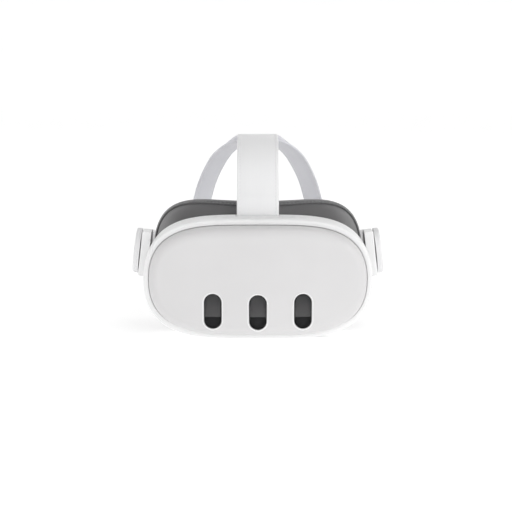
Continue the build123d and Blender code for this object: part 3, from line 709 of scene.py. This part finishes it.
def on_head(x, y, lift):
    """Point on the head's upper surface, lifted along its normal; x and y in metres."""
    share = 1 - ((x - HEAD.x) / HEAD_SIZE.x) ** 2 - ((y - HEAD.y) / HEAD_SIZE.y) ** 2
    point = Vector((x, y, HEAD.z + HEAD_SIZE.z * math.sqrt(share)))
    return point + outward(point) * lift


CROWN_Y, CROWN_HALF = 131.5, 13.5       # middle and half length of the crown patch
CROWN_FRONT_W, CROWN_REAR_W = 21.0, 33.0                # its half widths at the front and the rear
CROWN_T = 3.8
CROWN_SINK = 0.2                        # its middle lies this far below the head's surface
FLAT_HALF, FLAT_END = 13.0, 24.0        # it is flat out to FLAT_HALF, and back on the head at FLAT_END
FLAT_FRONT, FLAT_REAR = 122.0, 139.0    # depths between which it takes the head's own curve
CROWN_SIDES = 72
CROWN_RINGS = [(0.25, 1), (0.5, 1), (0.7, 1), (0.82, 1), (0.88, 0.86), (0.93, 1.0), (0.975, 0.85),
               (1.0, 0.35)]             # share of the way to the edge, and share of the thickness
CROWN_SEAM, CROWN_SEAM_LIFT = 0.88, 0.44                # the seam runs in the dip of the rings


def crown_point(turn, reach, lift):
    """Point of the patch in the direction turn, at a share reach of the way to its edge."""
    c, s = math.cos(turn), math.sin(turn)
    across = math.copysign(abs(c) ** 0.5, c)
    back = math.copysign(abs(s) ** 0.5, s)
    half = (CROWN_FRONT_W + CROWN_REAR_W) / 2 + (CROWN_REAR_W - CROWN_FRONT_W) / 2 * back
    x, y = reach * across * half, CROWN_Y + reach * back * CROWN_HALF
    flat = max(0.0, abs(x) - FLAT_HALF) * FLAT_END / (FLAT_END - FLAT_HALF)
    curved = min(1.0, max(0.0, (y - FLAT_FRONT) / (FLAT_REAR - FLAT_FRONT)))
    bend_x = min(flat, abs(x)) * (1 - curved) + abs(x) * curved
    level = on_head(bend_x * MM, y * MM, lift - CROWN_SINK * MM)
    return Vector((x * MM, level.y, level.z))


def make_crown_patch():
    """Soft patch that wraps the sewn ends of the three straps."""
    cloth = Cloth()
    turns = [2 * math.pi * side / CROWN_SIDES for side in range(CROWN_SIDES)]
    layers = CROWN_RINGS + [(reach, -rise) for reach, rise in reversed(CROWN_RINGS)]
    for reach, rise in layers:
        for turn in turns:
            point = crown_point(turn, reach, rise * CROWN_T / 2 * MM)
            cloth.verts.append(point)
            cloth.uvs.append((point.x, point.y))
    cloth.faces += tube_faces(len(layers), CROWN_SIDES)
    for face in (-1, 1):
        lift = face * CROWN_SEAM_LIFT * CROWN_T * MM
        line = [crown_point(turn, CROWN_SEAM, lift) for turn in turns + turns[:1]]
        cloth.line_of_stitches(line, [face * outward(point) for point in line])
    # the patch takes the copy of the weave that carries painted shade
    placed(cloth.build("crown_patch", "weave_shaded"), "headstrap", "strap_fabric")


# ---------------------------------------------------------------- face pad
# depth, half width, half height and middle height of the skirt's outline, and its superellipse powers
RIM_STATIONS = [(24.0, 81.8, 47.5, 49.0), (39.0, 84.0, 51.8, 52.2), (72.0, 88.0, 53.2, 52.8)]
RIM_BEND = (5.0, 2.8)
FACE_AXIS_Y, FACE_R = 206.0, 160.0      # upright cylinder that the pad's back follows
PAD_T, PAD_RING = 8.0, 15.0
PAD_PROUD = 0.5                         # the pad starts this far outside the skirt, before it swells
NOSE_HALF = 21.0                        # half the nose gap at the pad's outer edge
NOSE_LEAN, NOSE_FADE = 0.31, 25.0       # slope of the pad's ends there, which fades over this length
PAD_END = 5.0                           # length over which each end of the pad rounds off
END_PLACES = [0.05, 0.4, 1.0, 1.9, 3.0, PAD_END]        # sections close together at the rounded ends
PAD_SIDES, PAD_SPACING = 28, 3.2
OUTLINE_SAMPLES, POINT_ROUNDS = 4000, 4
FOAM_PRESSURE, FOAM_SWELL = 4.0, 0.8    # cloth pressure, and the most (mm) that it may move a point
PRESSURE_FRAMES = 20


def rim_at(y):
    """Half width, half height and middle height of the skirt's outline at depth y, on a parabola."""
    sizes = [0.0, 0.0, 0.0]
    for index, (at, *station) in enumerate(RIM_STATIONS):
        share = 1.0
        for other, (elsewhere, *_) in enumerate(RIM_STATIONS):
            if other != index:
                share *= (y - elsewhere) / (at - elsewhere)
        sizes = [total + share * size for total, size in zip(sizes, station)]
    return sizes


def pad_point(across, up, inset, radius):
    """Point (mm) for a direction on the unit outline, a distance in from the rim and a cylinder radius."""
    y = FACE_AXIS_Y - radius
    for _ in range(POINT_ROUNDS):       # x and y depend on each other
        half_w, half_h, mid_z = rim_at(y)
        x = (half_w - inset) * across
        y = FACE_AXIS_Y - math.sqrt(radius ** 2 - x ** 2)
    return Vector((x, y, max(mid_z + (half_h - inset) * up, 0.2)))


def unit_outline():
    """Directions round the outline, from one side of the nose gap over the top to the other."""
    ring = []
    for step in range(OUTLINE_SAMPLES + 1):
        turn = -math.pi / 2 + 2 * math.pi * step / OUTLINE_SAMPLES
        c, s = math.cos(turn), math.sin(turn)
        across = math.copysign(abs(c) ** (2 / RIM_BEND[0]), c)
        up = math.copysign(abs(s) ** (2 / RIM_BEND[1]), s)
        if up > -0.5 or abs(across) * RIM_STATIONS[1][1] > NOSE_HALF:
            ring.append((across, up))
    return ring


def even_stations():
    """Directions about PAD_SPACING apart round the pad, each with its distance from both ends."""
    ring = unit_outline()
    travelled = [0.0]
    for before, after in zip(ring, ring[1:]):
        step = pad_point(*after, 0, FACE_R) - pad_point(*before, 0, FACE_R)
        travelled.append(travelled[-1] + step.length)
    total = travelled[-1]
    inner = round((total - 2 * PAD_END) / PAD_SPACING)
    places = list(END_PLACES)
    places += [PAD_END + (total - 2 * PAD_END) * n / inner for n in range(1, inner)]
    places += [total - place for place in reversed(END_PLACES)]
    stations, index = [], 0
    for place in places:
        while index < len(ring) - 2 and travelled[index + 1] < place:
            index += 1
        part = min(1.0, (place - travelled[index]) / (travelled[index + 1] - travelled[index]))
        direction = [a + (b - a) * part for a, b in zip(ring[index], ring[index + 1])]
        stations.append((direction, place, total - place))
    return stations


def pad_section(shrink):
    """Rounded section as (inset, radius) pairs, scaled towards its middle by shrink."""
    middle, half = (PAD_RING - PAD_PROUD) / 2, (PAD_RING + PAD_PROUD) / 2
    for side in range(PAD_SIDES):
        turn = 2 * math.pi * side / PAD_SIDES
        c, s = math.cos(turn), math.sin(turn)
        inset = middle + shrink * half * math.copysign(abs(c) ** 0.6, c)
        radius = FACE_R + PAD_T / 2 + shrink * (PAD_T / 2 - 0.3) * math.copysign(abs(s) ** 0.75, s)
        yield inset, radius


def pad_ring(direction, from_start, to_end):
    """Points of one section; it shrinks to a rounded end beside the nose."""
    near = min(from_start, to_end)
    shrink = math.sqrt(1 - (1 - min(near, PAD_END) / PAD_END) ** 2)
    side = 1 if direction[0] > 0 else -1
    fade = max(0.0, 1 - near / NOSE_FADE)
    for inset, radius in pad_section(max(shrink, 0.12)):
        point = pad_point(*direction, inset, radius)
        point.x -= side * NOSE_LEAN * (inset - PAD_RING / 2) * fade
        yield point * MM


def tube_mesh(name, rings):
    """Closed skin over a row of rings with the same number of points, facing outwards."""
    verts = [point for ring in rings for point in ring]
    made = add_mesh(name, verts, tube_faces(len(rings), len(rings[0]), flip=True))
    editor = bmesh.new()
    editor.from_mesh(made.data)
    bmesh.ops.recalc_face_normals(editor, faces=editor.faces)
    editor.to_mesh(made.data)
    editor.free()
    return made


def settle(obj):
    """Replaces the object's mesh with its modified one and drops the modifiers."""
    mesh = bpy.data.meshes.new_from_object(obj.evaluated_get(bpy.context.evaluated_depsgraph_get()))
    obj.modifiers.clear()
    obj.data = mesh


def inflate(obj, pressure, most):
    """Blows the closed mesh up with cloth pressure, no further than most from where it was."""
    start = [vertex.co.copy() for vertex in obj.data.vertices]
    cloth = obj.modifiers.new("foam", "CLOTH")
    settings = cloth.settings
    settings.quality = 5
    settings.mass = 0.3
    settings.tension_stiffness = 25
    settings.bending_stiffness = 2
    settings.use_pressure = True
    settings.uniform_pressure_force = pressure
    settings.effector_weights.gravity = 0
    for step in range(1, PRESSURE_FRAMES + 1):
        bpy.context.scene.frame_set(step)
    settle(obj)
    for vertex, was in zip(obj.data.vertices, start):
        move = vertex.co - was
        if move.length > most:
            vertex.co = was + move.normalized() * most
        vertex.co.z = max(vertex.co.z, 0.1 * MM)
    bpy.context.scene.frame_set(1)


def subdivide(obj):
    finer = obj.modifiers.new("finer", "SUBSURF")
    finer.levels = finer.render_levels = 1
    settle(obj)
    obj.data.shade_smooth()


def make_face_pad():
    rings = [list(pad_ring(*station)) for station in even_stations()]
    pad = tube_mesh("face_cushion", rings)
    inflate(pad, FOAM_PRESSURE, FOAM_SWELL * MM)
    subdivide(pad)
    pad.data.materials.append(PAINTS["knit"].material)
    placed(pad, "face_interface", "pad_fabric", "face_pad")


# the collar's section as (inset from the rim, cylinder radius), and the place of its seam
COLLAR = [(-0.05, 167.5), (-0.8, 167.45), (-1.05, 168.2), (-1.05, 170.6), (-0.85, 171.1), (-1.05, 171.6),
          (-1.0, 172.8), (-0.7, 173.4), (-0.05, 173.5)]
COLLAR_SEAM = (-0.85, 171.1)


def make_collar():
    """Fabric edge of the pad, turned over the back of the skirt and sewn down."""
    cloth = Cloth()
    stations = even_stations()
    for direction, from_start, _ in stations:
        for inset, radius in COLLAR:
            cloth.verts.append(pad_point(*direction, inset, radius) * MM)
            cloth.uvs.append((radius * MM, from_start * MM))
    cloth.faces += tube_faces(len(stations), len(COLLAR))
    inset, radius = COLLAR_SEAM
    seam = [pad_point(*direction, inset, radius) * MM for direction, *_ in stations]
    raised = [pad_point(*direction, inset - 1, radius) * MM for direction, *_ in stations]
    outs = [(high - low).normalized() for high, low in zip(raised, seam)]
    cloth.line_of_stitches(seam, outs)
    placed(cloth.build("pad_collar", "knit", "dark"), "face_interface", "pad_fabric")


# ---------------------------------------------------------------- windows
BULGE_R, BULGE_RISE_R, BULGE_MID_Z = 420.0, 650.0, 48.5    # the faceplate's radii, and where it is foremost
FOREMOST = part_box("faceplate")[0].y / MM
MASK_DEPTH = 2.2                        # behind the faceplate's outer surface
MASK_T, MASK_MARGIN, MASK_SIDES = 0.5, 0.6, 40
MASK_RINGS = [(MASK_T, 1.0), (0.1, 1.0), (0, 0.97), (0, 0.6), (0, 0.3)]     # depth, share of the outline
EYE_DROP = 8.0                          # the camera's eye sits this far below the window's middle
EYE_SIDES = 32
EYE_RINGS = [(3.4, 0.0), (3.35, 0.18), (3.1, 0.22), (2.9, 0.1), (2.6, 0.1), (2.0, 0.17), (1.1, 0.22),
             (0.3, 0.24)]               # radius, and lift from the mask
WINDOW_GAP = 0.15                       # between a window's glass and its opening
BEVEL_SIDES = 64
# distance outwards from the opening's edge, and depth behind the faceplate's surface
BEVEL_SECTION = [(-0.02, 0.72), (0.72, -0.03), (0.95, -0.09), (1.2, 0.0), (1.2, 0.4), (0.3, 1.2)]


def behind_face(x, z, depth):
    """Point (m) at a depth behind the faceplate's bulging front."""
    y = FOREMOST + x ** 2 / (2 * BULGE_R) + (z - BULGE_MID_Z) ** 2 / (2 * BULGE_RISE_R)
    return Vector((x, y + depth, z)) * MM


class Pill:
    """The upright rounded outline of a window, in millimetres."""

    def __init__(self, node):
        low, high = [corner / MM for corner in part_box(node)]
        self.x, self.z = (low.x + high.x) / 2, (low.z + high.z) / 2
        self.radius = (high.x - low.x) / 2
        self.rise = (high.z - low.z) / 2 - self.radius

    def outline(self, grow, sides):
        """Points (x, z) round the outline, grown outwards."""
        points = []
        reach = self.radius + grow
        for side in range(sides):
            turn = 2 * math.pi * (side + 0.5) / sides
            lift = self.rise if math.sin(turn) > 0 else -self.rise
            points.append((self.x + reach * math.cos(turn), self.z + lift + reach * math.sin(turn)))
        return points


def make_window_bevel(side, pill):
    """Bevel round the opening in the faceplate, painted almost white as a highlight."""
    rings = []
    for grow, depth in BEVEL_SECTION:
        outline = pill.outline(grow + WINDOW_GAP, BEVEL_SIDES)
        rings.append([behind_face(x, z, depth) for x, z in outline])
    verts = [point for ring in rings for point in ring]
    faces = side_faces(len(rings), BEVEL_SIDES, flip=True)
    last = (len(rings) - 1) * BEVEL_SIDES
    for col in range(BEVEL_SIDES):
        after = (col + 1) % BEVEL_SIDES
        faces.append((last + col, last + after, after, col))
    bevel = add_mesh("window_rim_" + side, verts, faces)
    bevel.data.materials.append(PAINTS["bevel"].material)
    placed(bevel, "visor", "white_shell")


def make_window_mask(side, pill):
    """Mask behind the glass, divided into a pale and a black part."""
    outline = pill.outline(-MASK_MARGIN, MASK_SIDES)
    rings = []
    for depth, size in MASK_RINGS:
        ring = [(pill.x + (x - pill.x) * size, pill.z + (z - pill.z) * size) for x, z in outline]
        rings.append([behind_face(x, z, MASK_DEPTH + depth) for x, z in ring])
    mask = tube_mesh("window_mask_" + side, rings)
    mask.data.materials.append(PAINTS["mask"].material)
    placed(mask, "visor", "dark_plastic")


def make_camera_eye(side, pill):
    """Ring and low dome of a camera in the black part of the mask."""
    mid_z = pill.z - EYE_DROP
    turns = [2 * math.pi * step / EYE_SIDES for step in range(EYE_SIDES)]
    rings = []
    for reach, lift in EYE_RINGS:
        ring = [(pill.x + reach * math.cos(turn), mid_z + reach * math.sin(turn)) for turn in turns]
        rings.append([behind_face(x, z, MASK_DEPTH - lift) for x, z in ring])
    eye = tube_mesh("camera_eye_" + side, rings)
    eye.data.materials.append(PAINTS["eye"].material)
    placed(eye, "visor", "dark_plastic")


# ---------------------------------------------------------------- build
make_camera()
make_studio()
make_backdrop()
paint_nodes()
make_top_strap()
make_yoke("left", YOKE_ROUTE)
make_yoke("right", mirrored(YOKE_ROUTE))
make_band()
make_crown_patch()
make_face_pad()
make_collar()
for side_name in ("left", "center", "right"):
    window = Pill("window_" + side_name)
    make_window_mask(side_name, window)
    make_camera_eye(side_name, window)
    make_window_bevel(side_name, window)

size_rows = [[list(corner) for corner in box] for box in (cad_box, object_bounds())]
